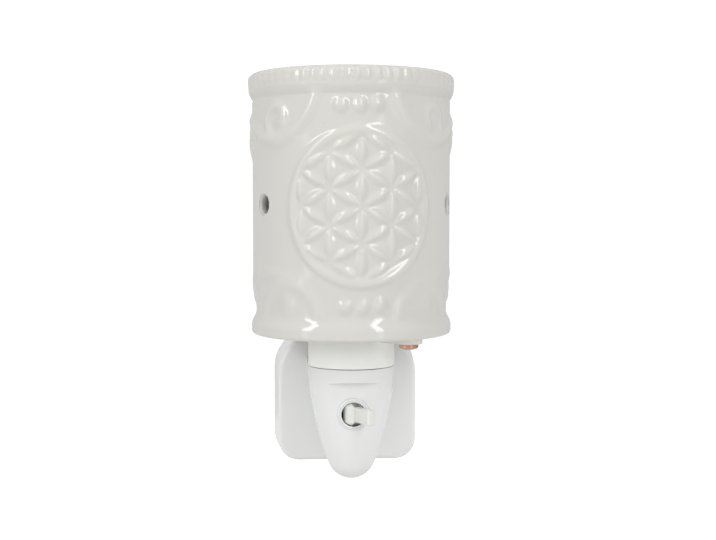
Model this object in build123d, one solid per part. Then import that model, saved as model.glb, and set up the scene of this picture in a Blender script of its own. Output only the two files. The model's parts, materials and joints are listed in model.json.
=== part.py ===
from build123d import *
import os
from itertools import combinations
from math import asin, atan2, cos, degrees, hypot, pi, radians, sin, sqrt, tan

# Wax melt warmer that plugs into a wall socket. A three-pin plug carries a pod with a toggle
# switch, a collar with a lamp and, over the lamp, a ceramic shade with a lift-out wax dish.
# Millimetres, +Z up. The origin is the middle of the plug's rear face, which lies on the wall.
# The front looks along -Y, and the neck axis is the vertical axis of collar, lamp and shade.

# Clearances
seat_gap = 0.1          # under a loose piece
loose_gap = 0.3         # beside a loose piece
fit_gap = 0.05          # round a pin, barrel or screw in its hole

# Plug body
plug_width = 52.5
plug_height = 48.0
plug_depth = 18.0
plug_draft = 4.8        # degrees
plug_top_corner = 14.5
plug_foot_corner = 8.7
plug_edge_round = 1.0
plug_wall = 2.2
base_thickness = 4.0
tongue_height = 1.6
tongue_wall = 1.4

# Plug pins
pin_pitch = 22.23       # live to neutral, and from their line up to the earth pin
power_pin_width = 6.35
power_pin_height = 3.97
power_pin_length = 17.7
earth_pin_width = 3.97
earth_pin_height = 7.95
earth_pin_length = 22.73
pin_tip_chamfer = 1.2
pin_tail = 5.0          # inside the case, in front of the base
sleeve_length = 9.5     # out from the wall
sleeve_wall = 0.5
earth_stop = 2.0        # how far the earth pin's head overhangs its slot
earth_head = 2.5

# Case screws
case_screw_radius = 1.4
case_screw_head_radius = 2.8
case_screw_length = 11.0
case_screw_z = 4.0
case_boss_radius = 3.0
case_boss_inset = 0.8   # boss to case wall

# Pod
neck_stand = 22.0       # neck axis in front of the plug's face
neck_radius = 14.75
pod_top = 15.2
pod_tip = -24.0
pod_tip_radius = 8.4
pod_side_radius = 100.0
pod_wall = 2.0
facet_depth = 3.0       # flat for the switch, in from the neck radius
facet_top = 10.9
facet_ramp = 0.6
spigot_height = 0.8     # round stub on the pod that the collar slips over

# Collar
collar_seam = 0.6       # open joint between pod and collar
collar_wall = 2.0
collar_top = 24.5

# Lampholder
holder_flange = 2.0
holder_wall = 3.3
holder_rim = 1.5        # above the shell
holder_floor = 3.5
shell_wall = 1.0
shell_start = 0.5       # above the cap's lower edge
shell_rim = 1.0         # above the cap
shell_tab_width = 4.0
shell_tab_thickness = 0.8
shell_tab_tail = 9.5    # below the holder
contact_radius = 3.0
contact_thickness = 0.7
rivet_radius = 1.2
rivet_tail = 7.0        # below the holder

# Lamp
thread_major = 6.92
thread_minor = 6.2
thread_pitch = 2.82
thread_turns = 4
cap_wall = 0.6
cap_rim = 1.6           # plain edges of the cap below and above the thread
tip_radius = 2.4
tip_height = 1.0
insulator_height = 3.0
insulator_plug = 1.0    # length inside the cap
neck_depth = 6.5        # glass neck inside the cap
glass_radius = 12.5
glass_wall = 0.7
glass_shoulder = 16.5   # from the cap up to the full width
glass_barrel = 9.0
stem_radius = 2.2
stem_height = 17.0
stem_foot = 1.0
lead_radius = 0.3
lead_pitch = 2.4
filament_span = 12.0
filament_height = 10.0
filament_radius = 0.25

# Shade bracket
bracket_thickness = 2.0
bracket_width = 9.0
bracket_angle = 44.0    # degrees from the front towards +X

# Shade ring
ring_radius = 17.0
ring_height = 4.5
ring_notches = 12
ring_notch_radius = 1.2

# Shade
shade_height = 87.2
shade_turn = 3.5        # degrees, how far the shade's front stands round from the plug's
body_radius = 33.5
shade_wall = 3.9
rim_radius = 34.7
rim_round = 2.2
rim_band = 8.7          # rim band's lower edge, below the top
rim_slope = 3.3         # from there up to the band's upright face
flange_radius = 34.0
flange_lip = 2.8
flange_round = 1.2
waist_radius = 32.4
waist_height = 8.2
waist_rise = 3.6        # from the waist up to the body's full width
floor_thickness = 5.0
floor_width = 8.1       # from the wall in to the floor's bore, with the screws half way
ledge_depth = 6.0
ledge_width = 3.2
ledge_thickness = 3.0
recess_radius = 30.2
vent_radius = 2.9
vent_angle = 66.0       # degrees to each side of the front and of the back
vent_drop = 43.6        # below the top

# Shade relief, alike on front and back. Places are given as millimetres round the wall, to the
# right of the medallion's middle, and up from the vents. Each leaf follows an arc through three places.
medallion_turn = 1.8    # degrees, how far the front medallion stands round from the plug's front
medallion_drop = 0.7    # its middle, below the vents
relief_root = 0.6       # how far the relief goes into the wall
border_half_width = 23.3    # of the border round the medallion, to the middle of its bar
border_half_height = 24.5
border_bar = 2.2
border_height = 0.85
flower_pitch = 11.67    # between the points where petals meet
flower_rings = 2        # of such points round the middle one
flower_lean = 30        # degrees, from level to the nearest row of points
petal_half_length = 4.6
petal_half_width = 1.8
petal_height = 0.75
boss_row = (-5.8, -0.2, 5.4)
boss_rise = 31.4        # rows of bosses above and below the vents
boss_radius = 2.2
boss_height = 1.0
garland_middle = -1.6   # the line that a pair of garlands and curls mirrors about
garland_leaves = (((13.0, 34.6), (18.4, 25.7), (29.5, 20.8)), ((27.5, 20.8), (38.0, 22.4), (49.0, 27.0)))
curl_leaves = (((31.0, 22.0), (32.0, 29.6), (25.2, 27.6)),)
garland_half_width = 1.6
garland_height = 0.8
arch_middle = -0.6      # the line that a pair of arches, eggs and branches mirrors about
arch_leaves = (((14.0, -33.4), (24.5, -25.3), (36.6, -31.8)), ((19.0, -25.2), (35.0, -22.2), (47.0, -24.4)))
egg_place = (25.6, -31.4)
egg_radius = 3.0
egg_height = 0.7
palmette_fan = (-45, 0, 45)
palmette_reach = 6.6    # from its foot to the middle of each leaf
palmette_half_length = 4.6
palmette_half_width = 1.7
palmette_height = 0.85
palmette_feet = (27.0, -34.5)

# Shade screws
screw_radius = 1.75
screw_head_radius = 3.2
screw_head_height = 2.1
screw_slot_width = 0.8
screw_slot_depth = 0.9
screw_end = 0.8         # past the nut
nut_flats = 6.0
nut_height = 2.8

# Wax dish
dish_depth = 18.6       # from the shade's top to the dish's underside
dish_wall = 3.2
dish_foot_radius = 15.0
dish_lip_drop = 0.9     # lip below the shade's top
dish_lip_round = 1.2

# Switch
switch_z = 0.0
bezel_radius = 5.5
bezel_lip = 1.0
bezel_edge = 0.4
barrel_bore = 4.0
barrel_wall = 0.6
barrel_length = 5.0
pivot_depth = 2.0
pivot_radius = 0.6
lever_tilt = 30.0       # degrees to the right, as stored
hub_radius = 2.9        # drum on the pivot
hub_gap = 0.6           # above and below it, to the barrel's bore
paddle_root = (2.6, 3.4)
paddle_end = (3.2, 5.4)
paddle_start = 2.4
paddle_length = 11.2
paddle_round = 0.8
paddle_end_round = 0.64
tail_radius = 1.0
tail_length = 6.6
bridge_side = 1.4
bridge_height = 5.0
switch_collar_wall = 0.5
switch_collar_length = 2.75
switch_width = 13.0
switch_height = 10.0
switch_length = 9.0
switch_wall = 1.2
terminal_thickness = 0.6
terminal_width = 1.6
terminal_pitch = 3.6
terminal_tail = 2.5
terminal_reach = 6.0    # inside the switch body

# Wiring
wire_radius = 0.9
wire_lead = 5.0         # first or last run, off a terminal
bend_share = 0.45       # of the shorter run beside a bend

# Heights and places that follow
neck_y = -plug_depth - neck_stand
shade_bottom = collar_top + bracket_thickness
shade_top = shade_bottom + shade_height
cavity_radius = body_radius - shade_wall
ledge_z = shade_top - ledge_depth
ledge_radius = recess_radius - ledge_width
floor_z = shade_bottom + floor_thickness
screw_top = floor_z + nut_height + screw_end
spigot_radius = neck_radius - collar_wall - fit_gap
spigot_top = pod_top + spigot_height
spigot_bore = spigot_radius - pod_wall
shell_radius = thread_major + loose_gap + shell_wall
holder_radius = shell_radius + holder_wall
holder_bottom = spigot_top
holder_floor_z = holder_bottom + holder_floor
collar_step_z = holder_bottom + holder_flange
rivet_end = holder_bottom - rivet_tail
shell_tab_end = holder_bottom - shell_tab_tail
lamp_bottom = holder_floor_z + contact_thickness + loose_gap
insulator_z = lamp_bottom + tip_height
cap_bottom = insulator_z + insulator_height - insulator_plug
cap_top = cap_bottom + 2 * cap_rim + thread_turns * thread_pitch
shell_bottom = cap_bottom + shell_start
shell_top = cap_top + shell_rim
holder_top = shell_top + holder_rim
floor_bore = cavity_radius - floor_width
bracket_reach = cavity_radius - floor_width / 2
glass_neck_radius = thread_minor - cap_wall
filament_z = cap_top - neck_depth + stem_height + filament_height
barrel_radius = barrel_bore + barrel_wall
hub_end_radius = barrel_bore - hub_gap
facet_y = neck_y - (neck_radius - facet_depth)
pivot_y = facet_y + pivot_depth
switch_front = facet_y + pod_wall
switch_box_front = switch_front + switch_collar_length
switch_rear = switch_box_front + switch_length
pin_x = pin_pitch / 2
power_pin_z = -pin_pitch / 2
earth_pin_z = pin_pitch / 2
tail_y = -base_thickness - pin_tail / 2
wall_inset = plug_wall + base_thickness * tan(radians(plug_draft))
case_screw_x = plug_width / 2 - wall_inset - case_boss_inset - case_boss_radius
room = 4 * (plug_width + shade_height)


def slab(rear, front):
    """Everything between two planes that face the wall."""
    return Pos(0, (rear + front) / 2, 0) * Box(room, rear - front, room)


def upright(radius, bottom, top, x=0.0, y=neck_y):
    """Vertical cylinder."""
    place = Pos(x, y, bottom)
    return place * Cylinder(radius, top - bottom, align=(Align.CENTER, Align.CENTER, Align.MIN))


def level(radius, rear, front, x=0.0, z=0.0):
    """Cylinder that lies along Y."""
    return Pos(x, (rear + front) / 2, z) * Rot(90, 0, 0) * Cylinder(radius, rear - front)


def block(x, y, z):
    """Box between low and high values along each axis."""
    middle = [sum(span) / 2 for span in (x, y, z)]
    return Pos(*middle) * Box(x[1] - x[0], y[1] - y[0], z[1] - z[0])


def turned(outline):
    """Solid of revolution about the neck axis, from a closed outline in radius and height."""
    return Pos(0, neck_y, 0) * revolve(Plane.XZ * make_face(outline), Axis.Z)


def s_curve(low, high):
    """Two equal arcs that leave both points straight up and down."""
    middle = ((low[0] + high[0]) / 2, (low[1] + high[1]) / 2)
    return TangentArc(low, middle, tangent=(0, 1)) + TangentArc(high, middle, tangent=(0, -1))


def thread_outline(gap, bottom, turns):
    """Wavy side of a knuckle thread, from the bottom up, as rings of two arcs each."""
    minor = thread_minor + gap
    major = thread_major + gap
    half = thread_pitch / 2
    waves = s_curve((minor, bottom), (major, bottom + half))
    waves += s_curve((major, bottom + half), (minor, bottom + thread_pitch))
    for turn in range(1, turns):
        waves += Pos(0, turn * thread_pitch) * (
            s_curve((minor, bottom), (major, bottom + half))
            + s_curve((major, bottom + half), (minor, bottom + thread_pitch))
        )
    return waves


def around(angle, reach):
    """Point round the neck axis, its angle counted from the front towards +X."""
    return reach * sin(radians(angle)), neck_y - reach * cos(radians(angle))


# Plug

def plug_block(inset, front):
    """Tapered plug body, drawn in by inset, from the wall to the front."""
    outline = Rectangle(plug_width - 2 * inset, plug_height - 2 * inset)
    outline = fillet(outline.vertices().group_by(Axis.Y)[-1], plug_top_corner - inset)
    outline = fillet(outline.vertices().group_by(Axis.Y)[0], plug_foot_corner - inset)
    return extrude(Plane.XZ * outline, front, taper=plug_draft)


def case_screw_places():
    return [(side * case_screw_x, case_screw_z) for side in (-1, 1)]


def power_slot(x, rear, front):
    half_width = power_pin_width / 2
    half_height = power_pin_height / 2
    z_span = (power_pin_z - half_height, power_pin_z + half_height)
    return block((x - half_width, x + half_width), (front, rear), z_span)


def earth_block(rear, front, overhang=0.0):
    half_width = earth_pin_width / 2 + overhang
    half_height = earth_pin_height / 2 + overhang
    z_span = (earth_pin_z - half_height, earth_pin_z + half_height)
    return block((-half_width, half_width), (front, rear), z_span)


def screw_cone(x, z):
    """Countersunk head with its top flush with the plug's rear face."""
    height = case_screw_head_radius - case_screw_radius
    cone = Cone(case_screw_radius, case_screw_head_radius, height)
    return Pos(x, -height / 2, z) * Rot(-90, 0, 0) * cone


def make_plug_base():
    base = plug_block(0, plug_depth) & slab(0, -base_thickness)
    tongue = plug_block(plug_wall + fit_gap, plug_depth)
    tongue -= plug_block(plug_wall + fit_gap + tongue_wall, plug_depth)
    base += tongue & slab(-base_thickness, -base_thickness - tongue_height)
    for x in (-pin_x, pin_x):
        base -= power_slot(x, 0, -base_thickness)
    base -= earth_block(0, -base_thickness)
    for x, z in case_screw_places():
        base -= screw_cone(x, z)
        base -= level(case_screw_radius + fit_gap, 0, -base_thickness - tongue_height, x, z)
        base -= level(case_boss_radius + fit_gap, -base_thickness, -base_thickness - tongue_height, x, z)
    return base


def make_plug_case():
    case = plug_block(0, plug_depth)
    case = fillet(case.faces().sort_by(Axis.Y)[0].edges(), plug_edge_round)
    case = case & slab(-base_thickness, -plug_depth)
    case -= plug_block(plug_wall, plug_depth - plug_wall)
    case -= pod_hollow()
    for x, z in case_screw_places():
        case += level(case_boss_radius, -base_thickness, plug_wall - plug_depth, x, z)
        case -= level(case_screw_radius + fit_gap, 0, -case_screw_length - fit_gap, x, z)
    return case


def make_case_screws():
    screws = []
    for x, z in case_screw_places():
        shank = level(case_screw_radius, 0, -case_screw_length, x, z)
        slot = Pos(x, 0, z) * Box(2 * case_screw_head_radius, screw_slot_depth, screw_slot_width)
        screws.append(shank + screw_cone(x, z) - slot)
    return screws


def make_power_pin(x):
    """Brass pin with a waist for its sleeve and a tail inside the case."""
    pin = power_slot(x, power_pin_length, -base_thickness - pin_tail)
    pin = chamfer(pin.faces().sort_by(Axis.Y)[-1].edges(), pin_tip_chamfer)
    return pin - make_pin_sleeve(x)


def make_pin_sleeve(x):
    sleeve = power_slot(x, sleeve_length, -base_thickness)
    half_width = power_pin_width / 2 - sleeve_wall
    half_height = power_pin_height / 2 - sleeve_wall
    z_span = (power_pin_z - half_height, power_pin_z + half_height)
    return sleeve - block((x - half_width, x + half_width), (-base_thickness, sleeve_length), z_span)


def make_earth_pin():
    pin = earth_block(earth_pin_length, -base_thickness)
    pin = chamfer(pin.faces().sort_by(Axis.Y)[-1].edges(), pin_tip_chamfer)
    return pin + earth_block(-base_thickness, -base_thickness - earth_head, earth_stop)


# Pod and collar

def pod_centres():
    """Centres of the tip arc and of the side arc, which touch, in half-width and height."""
    tip = (0.0, pod_tip + pod_tip_radius)
    corner = (neck_radius - tip[0], pod_top - tip[1])
    span = sqrt(corner[0] ** 2 + corner[1] ** 2)
    reach = pod_side_radius - pod_tip_radius
    along = (reach ** 2 - pod_side_radius ** 2 + span ** 2) / (2 * span)
    across = sqrt(reach ** 2 - along ** 2)
    side_x = tip[0] + (along * corner[0] - across * corner[1]) / span
    side_z = tip[1] + (along * corner[1] + across * corner[0]) / span
    return tip, (side_x, side_z)


def pod_half(inset):
    """Right half of the pod's front outline, drawn in by inset."""
    tip, side = pod_centres()
    meeting = degrees(atan2(tip[1] - side[1], tip[0] - side[0]))
    radius = pod_side_radius - inset
    top = pod_top - inset
    top_angle = degrees(asin((top - side[1]) / radius))
    outline = CenterArc(tip, pod_tip_radius - inset, -90, 90 + meeting)
    outline += CenterArc(side, radius, meeting, top_angle - meeting)
    corner = side[0] + radius * cos(radians(top_angle))
    return outline + Polyline((corner, top), (0, top), (0, pod_tip + inset))


def pod_block(inset, rear):
    """Pod drawn in by inset: round in front of the neck axis, straight from there to the rear."""
    outline = pod_half(inset)
    front = turned(outline) & slab(neck_y, neck_y - 2 * neck_radius)
    face = Plane.XZ.offset(-neck_y) * make_face(outline)
    half = extrude(face, neck_y - rear)
    pod = front + half + mirror(half, Plane.YZ)
    ramp_y = facet_y + inset - facet_depth * 2
    ramp_z = facet_top + inset
    cut = make_face(Polyline(
        (facet_y + inset, pod_tip - neck_radius),
        (facet_y + inset, ramp_z - facet_ramp),
        (ramp_y, ramp_z + facet_ramp),
        (ramp_y, pod_tip - neck_radius),
        close=True,
    ))
    return pod - extrude(Plane.YZ * cut, neck_radius, both=True)


def pod_hollow():
    """Room inside the pod, open to the plug and up through the spigot."""
    room_in_pod = pod_block(pod_wall, plug_wall - plug_depth)
    return room_in_pod + upright(spigot_bore, pod_top - 2 * pod_wall, spigot_top)


def pod_shell():
    """Hollow pod with its spigot, before it is parted at the neck axis."""
    return pod_block(0, -plug_depth) + upright(spigot_radius, pod_top, spigot_top) - pod_hollow()


def make_pod_front():
    front = pod_shell() & slab(neck_y, neck_y - 2 * neck_radius)
    return front - level(barrel_radius + fit_gap, switch_front, facet_y, z=switch_z)


def make_pod_rear():
    return pod_shell() & slab(-plug_depth, neck_y)


def make_socket_collar():
    collar = upright(neck_radius, pod_top + collar_seam, collar_top)
    collar -= upright(spigot_radius + fit_gap, pod_top, collar_step_z)
    return collar - upright(holder_radius + fit_gap, collar_step_z, collar_top)


# Lampholder

def shell_tab(bottom, top):
    outer = -shell_radius
    y_span = (neck_y - shell_tab_width / 2, neck_y + shell_tab_width / 2)
    tab = block((outer, outer + shell_tab_thickness), y_span, (bottom, top))
    return tab & upright(shell_radius, bottom, top)


def make_lampholder_body():
    holder = upright(spigot_radius, holder_bottom, holder_bottom + holder_flange)
    holder += upright(holder_radius, holder_bottom, holder_top)
    holder -= upright(shell_radius, holder_floor_z, holder_top)
    holder -= upright(rivet_radius, holder_bottom, holder_floor_z)
    return holder - shell_tab(holder_bottom, holder_floor_z)


def make_lampholder_shell():
    """Screw shell with the lamp's thread in it and a tab down to the wiring."""
    bottom = cap_bottom + cap_rim
    thread_top = bottom + thread_turns * thread_pitch
    bore = thread_minor + loose_gap
    outline = thread_outline(loose_gap, bottom, thread_turns)
    outline += Polyline(
        (bore, thread_top), (bore, shell_top), (shell_radius, shell_top),
        (shell_radius, shell_bottom), (bore, shell_bottom), (bore, bottom),
    )
    return turned(outline) + shell_tab(shell_tab_end, shell_bottom)


def make_lampholder_contact():
    rivet = upright(rivet_radius, rivet_end, holder_floor_z)
    return rivet + upright(contact_radius, holder_floor_z, holder_floor_z + contact_thickness)


# Lamp

def make_bulb_tip_contact():
    return upright(tip_radius, lamp_bottom, insulator_z)


def make_bulb_insulator():
    top = cap_bottom + insulator_plug
    return turned(Polyline(
        (0, insulator_z), (tip_radius, insulator_z), (thread_minor, cap_bottom),
        (glass_neck_radius, cap_bottom), (glass_neck_radius, top), (0, top), close=True,
    ))


def make_bulb_cap():
    thread_bottom = cap_bottom + cap_rim
    thread_top = thread_bottom + thread_turns * thread_pitch
    outline = thread_outline(0, thread_bottom, thread_turns)
    outline += Polyline(
        (thread_minor, thread_top), (thread_minor, cap_top), (glass_neck_radius, cap_top),
        (glass_neck_radius, cap_bottom), (thread_minor, cap_bottom), (thread_minor, thread_bottom),
    )
    return turned(outline)


def glass_outline(inset):
    """Outer or inner side of the bulb, from its neck up to the crown on the axis."""
    neck = glass_neck_radius - inset
    width = glass_radius - inset
    shoulder = cap_top + glass_shoulder
    crown = shoulder + glass_barrel
    outline = Line((neck, cap_top - neck_depth), (neck, cap_top))
    outline += s_curve((neck, cap_top), (width, shoulder))
    outline += Line((width, shoulder), (width, crown))
    return outline + TangentArc((width, crown), (0, crown + width), tangent=(0, 1))


def make_bulb_glass():
    crown = cap_top + glass_shoulder + glass_barrel + glass_radius
    foot = cap_top - neck_depth
    outline = glass_outline(0) + glass_outline(glass_wall)
    outline += Line((glass_neck_radius, foot), (glass_neck_radius - glass_wall, foot))
    outline += Line((0, crown), (0, crown - glass_wall))
    return turned(outline)


def make_bulb_stem():
    foot = cap_top - neck_depth
    flare = upright(glass_neck_radius - glass_wall, foot, foot + stem_foot)
    return flare + upright(stem_radius, foot, foot + stem_height)


def make_bulb_lead_wires():
    """Two wires from the stem out to the ends of the filament."""
    foot = cap_top - neck_depth + stem_height
    near = lead_pitch / 2
    far = filament_span / 2
    rise = filament_height / 4
    wires = []
    for side in (-1, 1):
        route = [
            (side * near, neck_y, foot), (side * near, neck_y, foot + rise),
            (side * far, neck_y, filament_z - rise), (side * far, neck_y, filament_z),
        ]
        wires.append(make_wire(route, lead_radius))
    return wires


def make_bulb_filament():
    far = filament_span / 2
    left = (-far, neck_y, filament_z)
    right = (far, neck_y, filament_z)
    arch = ThreePointArc(left, (0, neck_y, filament_z + far), right)
    return sweep(Plane(left, z_dir=(0, 0, 1)) * Circle(filament_radius), path=arch)


# Shade and what holds it

def screw_places():
    return [around(bracket_angle + back, bracket_reach) for back in (0, 180)]


def cast(face, s, height):
    """Part of the wall raised by height, with an outline that is a flat face seen square on from outside."""
    bar = Rot(90, 0, 0) * extrude(face, body_radius + height)
    turn = Rot(0, 0, degrees(s / body_radius) + medallion_turn)
    bar = Pos(0, neck_y, shade_top - vent_drop) * turn * bar
    bar &= upright(body_radius + height, shade_bottom, shade_top)
    return bar - upright(body_radius - relief_root, shade_bottom, shade_top)


def boss(s, t, radius, height):
    """Round boss on the wall."""
    return cast(Pos(0, t) * Circle(radius), s, height)


def leaf(places, half_width, height):
    """Pointed leaf on the wall, along an arc from the first place through the second to the third."""
    middle_s = places[1][0]
    start, middle, end = [Vector(body_radius * sin((s - middle_s) / body_radius), t) for s, t in places]
    chord = end - start
    side = Vector(-chord.Y, chord.X).normalized() * half_width
    outline = ThreePointArc(start, middle + side, end) + ThreePointArc(end, middle - side, start)
    return cast(make_face(outline), middle_s, height)


def straight_leaf(s, t, lean, half_length, half_width, height):
    """Pointed leaf that leans to the right of upright by some degrees."""
    ds = half_length * sin(radians(lean))
    dt = half_length * cos(radians(lean))
    return leaf(((s - ds, t - dt), (s, t), (s + ds, t + dt)), half_width, height)


def make_border():
    """Raised bar round the medallion."""
    half_width = body_radius * sin(border_half_width / body_radius)
    outside = Ellipse(half_width + border_bar / 2, border_half_height + border_bar / 2)
    inside = Ellipse(half_width - border_bar / 2, border_half_height - border_bar / 2)
    return cast(Pos(0, -medallion_drop) * (outside - inside), 0, border_height)


def make_flower():
    """Petals between every two neighbours on a triangular grid of points."""
    points = []
    for column in range(-flower_rings, flower_rings + 1):
        rows = 2 * flower_rings + 1 - abs(column)
        s = column * cos(radians(flower_lean)) * flower_pitch
        points += [(s, (row - (rows - 1) / 2) * flower_pitch - medallion_drop) for row in range(rows)]
    petals = []
    for (s0, t0), (s1, t1) in combinations(points, 2):
        if round(hypot(s1 - s0, t1 - t0) / flower_pitch) == 1:
            lean = degrees(atan2(s1 - s0, t1 - t0))
            place = ((s0 + s1) / 2, (t0 + t1) / 2)
            petals.append(straight_leaf(*place, lean, petal_half_length, petal_half_width, petal_height))
    return petals


def make_palmettes():
    """Fans of leaves at the side of the wall, one under the rim and one over the foot."""
    quarter_turn = pi / 2 * body_radius
    leaves = []
    for foot, upward in zip(palmette_feet, (-1, 1)):
        for fan in palmette_fan:
            s = quarter_turn + palmette_reach * sin(radians(fan))
            t = foot + upward * palmette_reach * cos(radians(fan))
            size = (palmette_half_length, palmette_half_width, palmette_height)
            leaves.append(straight_leaf(s, t, upward * fan, *size))
    return leaves


def make_relief():
    """Raised parts of the front and the right side, then the same turned round to the back and left."""
    pieces = [make_border()] + make_flower() + make_palmettes()
    for s in boss_row:
        pieces += [boss(s, t, boss_radius, boss_height) for t in (boss_rise, -boss_rise)]
    for side in (-1, 1):
        for places in garland_leaves + curl_leaves:
            mirrored = [(garland_middle + side * s, t) for s, t in places]
            pieces.append(leaf(mirrored, garland_half_width, garland_height))
        for places in arch_leaves:
            mirrored = [(arch_middle + side * s, t) for s, t in places]
            pieces.append(leaf(mirrored, garland_half_width, garland_height))
        pieces.append(boss(arch_middle + side * egg_place[0], egg_place[1], egg_radius, egg_height))
    half_turn = Pos(0, neck_y, 0) * Rot(0, 0, 180) * Pos(0, -neck_y, 0)
    return pieces + [half_turn * piece for piece in pieces]


def make_ceramic_shade():
    slope = cavity_radius - ledge_radius
    ledge_foot = ledge_z - ledge_thickness
    rim_z = shade_top - rim_round
    band_z = shade_top - rim_band
    lip_z = shade_bottom + flange_lip
    waist_z = shade_bottom + waist_height
    outline = Polyline(
        (rim_radius - rim_round, shade_top), (recess_radius, shade_top),
        (recess_radius, ledge_z), (ledge_radius, ledge_z),
        (ledge_radius, ledge_foot), (cavity_radius, ledge_foot - slope),
        (cavity_radius, floor_z), (floor_bore, floor_z),
        (floor_bore, shade_bottom), (flange_radius - flange_round, shade_bottom),
    )
    foot_end = (flange_radius, shade_bottom + flange_round)
    outline += TangentArc((flange_radius - flange_round, shade_bottom), foot_end, tangent=(1, 0))
    outline += Line(foot_end, (flange_radius, lip_z))
    outline += s_curve((flange_radius, lip_z), (waist_radius, waist_z))
    outline += s_curve((waist_radius, waist_z), (body_radius, waist_z + waist_rise))
    outline += Line((body_radius, waist_z + waist_rise), (body_radius, band_z))
    outline += s_curve((body_radius, band_z), (rim_radius, band_z + rim_slope))
    outline += Line((rim_radius, band_z + rim_slope), (rim_radius, rim_z))
    outline += TangentArc((rim_radius, rim_z), (rim_radius - rim_round, shade_top), tangent=(0, 1))
    shade = turned(outline) + make_relief()
    for angle in (vent_angle, 180 - vent_angle, 180 + vent_angle, 360 - vent_angle):
        vent = Rot(0, 0, angle + shade_turn) * level(vent_radius, 0, -2 * body_radius)
        shade -= Pos(0, neck_y, shade_top - vent_drop) * vent
    for x, y in screw_places():
        shade -= upright(screw_radius + loose_gap, shade_bottom, floor_z, x, y)
    return shade


def make_wax_dish():
    """Shallow bowl that hangs by its rim on the shade's ledge."""
    seat = ledge_z + seat_gap
    lip = shade_top - dish_lip_drop
    foot = shade_top - dish_depth
    outer = ledge_radius - loose_gap
    rim = recess_radius - loose_gap
    inner = outer - dish_wall
    lip_inner = rim - 2 * dish_lip_round
    outline = Polyline((0, foot + dish_wall), (0, foot), (dish_foot_radius, foot))
    outline += TangentArc((outer, seat), (dish_foot_radius, foot), tangent=(0, -1))
    outline += Polyline((outer, seat), (rim, seat), (rim, lip - dish_lip_round))
    outline += ThreePointArc(
        (rim, lip - dish_lip_round), (rim - dish_lip_round, lip), (lip_inner, lip - dish_lip_round))
    outline += s_curve((inner, seat), (lip_inner, lip - dish_lip_round))
    bowl_foot = (dish_foot_radius - dish_wall / 2, foot + dish_wall)
    outline += TangentArc((inner, seat), bowl_foot, tangent=(0, -1))
    outline += Line(bowl_foot, (0, foot + dish_wall))
    return turned(outline)


def make_shade_bracket():
    strip = SlotCenterToCenter(2 * bracket_reach, bracket_width)
    plate = Rot(0, 0, bracket_angle - 90) * strip + Circle(neck_radius)
    plate -= Circle(holder_radius + fit_gap)
    bracket = Pos(0, neck_y, collar_top) * extrude(plate, bracket_thickness)
    for x, y in screw_places():
        bracket -= upright(screw_radius + fit_gap, collar_top, shade_bottom, x, y)
    return bracket


def make_shade_ring():
    ring = upright(ring_radius, shade_bottom, shade_bottom + ring_height)
    ring -= upright(holder_radius + fit_gap, shade_bottom, shade_bottom + ring_height)
    for notch in range(ring_notches):
        x, y = around(360 * notch / ring_notches, ring_radius)
        ring -= upright(ring_notch_radius, shade_bottom, shade_bottom + ring_height, x, y)
    return ring


def make_shade_screws():
    """Round-head screws that come up through the bracket."""
    dome = (screw_head_radius ** 2 + screw_head_height ** 2) / (2 * screw_head_height)
    head_foot = collar_top - screw_head_height
    screws = []
    for x, y in screw_places():
        head = Pos(x, y, head_foot + dome) * Sphere(dome)
        head = head & upright(screw_head_radius, head_foot, collar_top, x, y)
        slot = Pos(x, y, head_foot) * Rot(0, 0, bracket_angle) * Box(
            2 * screw_head_radius, screw_slot_width, 2 * screw_slot_depth)
        screws.append(head + upright(screw_radius, collar_top, screw_top, x, y) - slot)
    return screws


def make_shade_nuts():
    nuts = []
    for x, y in screw_places():
        flats = RegularPolygon(nut_flats / 2, 6, major_radius=False)
        nut = Pos(x, y, floor_z) * extrude(flats, nut_height)
        nuts.append(nut - upright(screw_radius + fit_gap, floor_z, screw_top, x, y))
    return nuts


# Switch

def tilted(piece):
    """Place a lever piece, drawn pointing at -Y from the pivot, as the lever is stored."""
    return Pos(0, pivot_y, switch_z) * Rot(0, 0, lever_tilt) * piece


def bridge_section():
    return Pos(0, tail_length, 0) * Box(bridge_side, bridge_side, bridge_height)


def terminal_x():
    """Left and right faces of the terminals, clear of the bridge where it closes on them."""
    tilt = radians(lever_tilt)
    bridge_face = tail_length * sin(tilt) + bridge_side / 2 * (sin(tilt) + cos(tilt))
    right = -bridge_face - loose_gap
    return right - terminal_thickness, right


def terminal_zs():
    return [switch_z + side * terminal_pitch / 2 for side in (-1, 1)]


def terminal_block(z, rear, front):
    z_span = (z - terminal_width / 2, z + terminal_width / 2)
    return block(terminal_x(), (front, rear), z_span)


def make_switch_bezel():
    lip = level(bezel_radius, facet_y, facet_y - bezel_lip, z=switch_z)
    lip = fillet(lip.faces().sort_by(Axis.Y)[0].edges(), bezel_edge)
    bezel = lip + level(barrel_radius, facet_y + barrel_length, facet_y, z=switch_z)
    bezel -= level(barrel_bore, facet_y + barrel_length, facet_y - bezel_lip, z=switch_z)
    return bezel - pivot_hole()


def pivot_hole():
    return upright(
        pivot_radius + fit_gap, switch_z - barrel_radius, switch_z + barrel_radius, y=pivot_y)


def make_switch_pivot_pin():
    return upright(pivot_radius, switch_z - barrel_radius, switch_z + barrel_radius, y=pivot_y)


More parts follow.
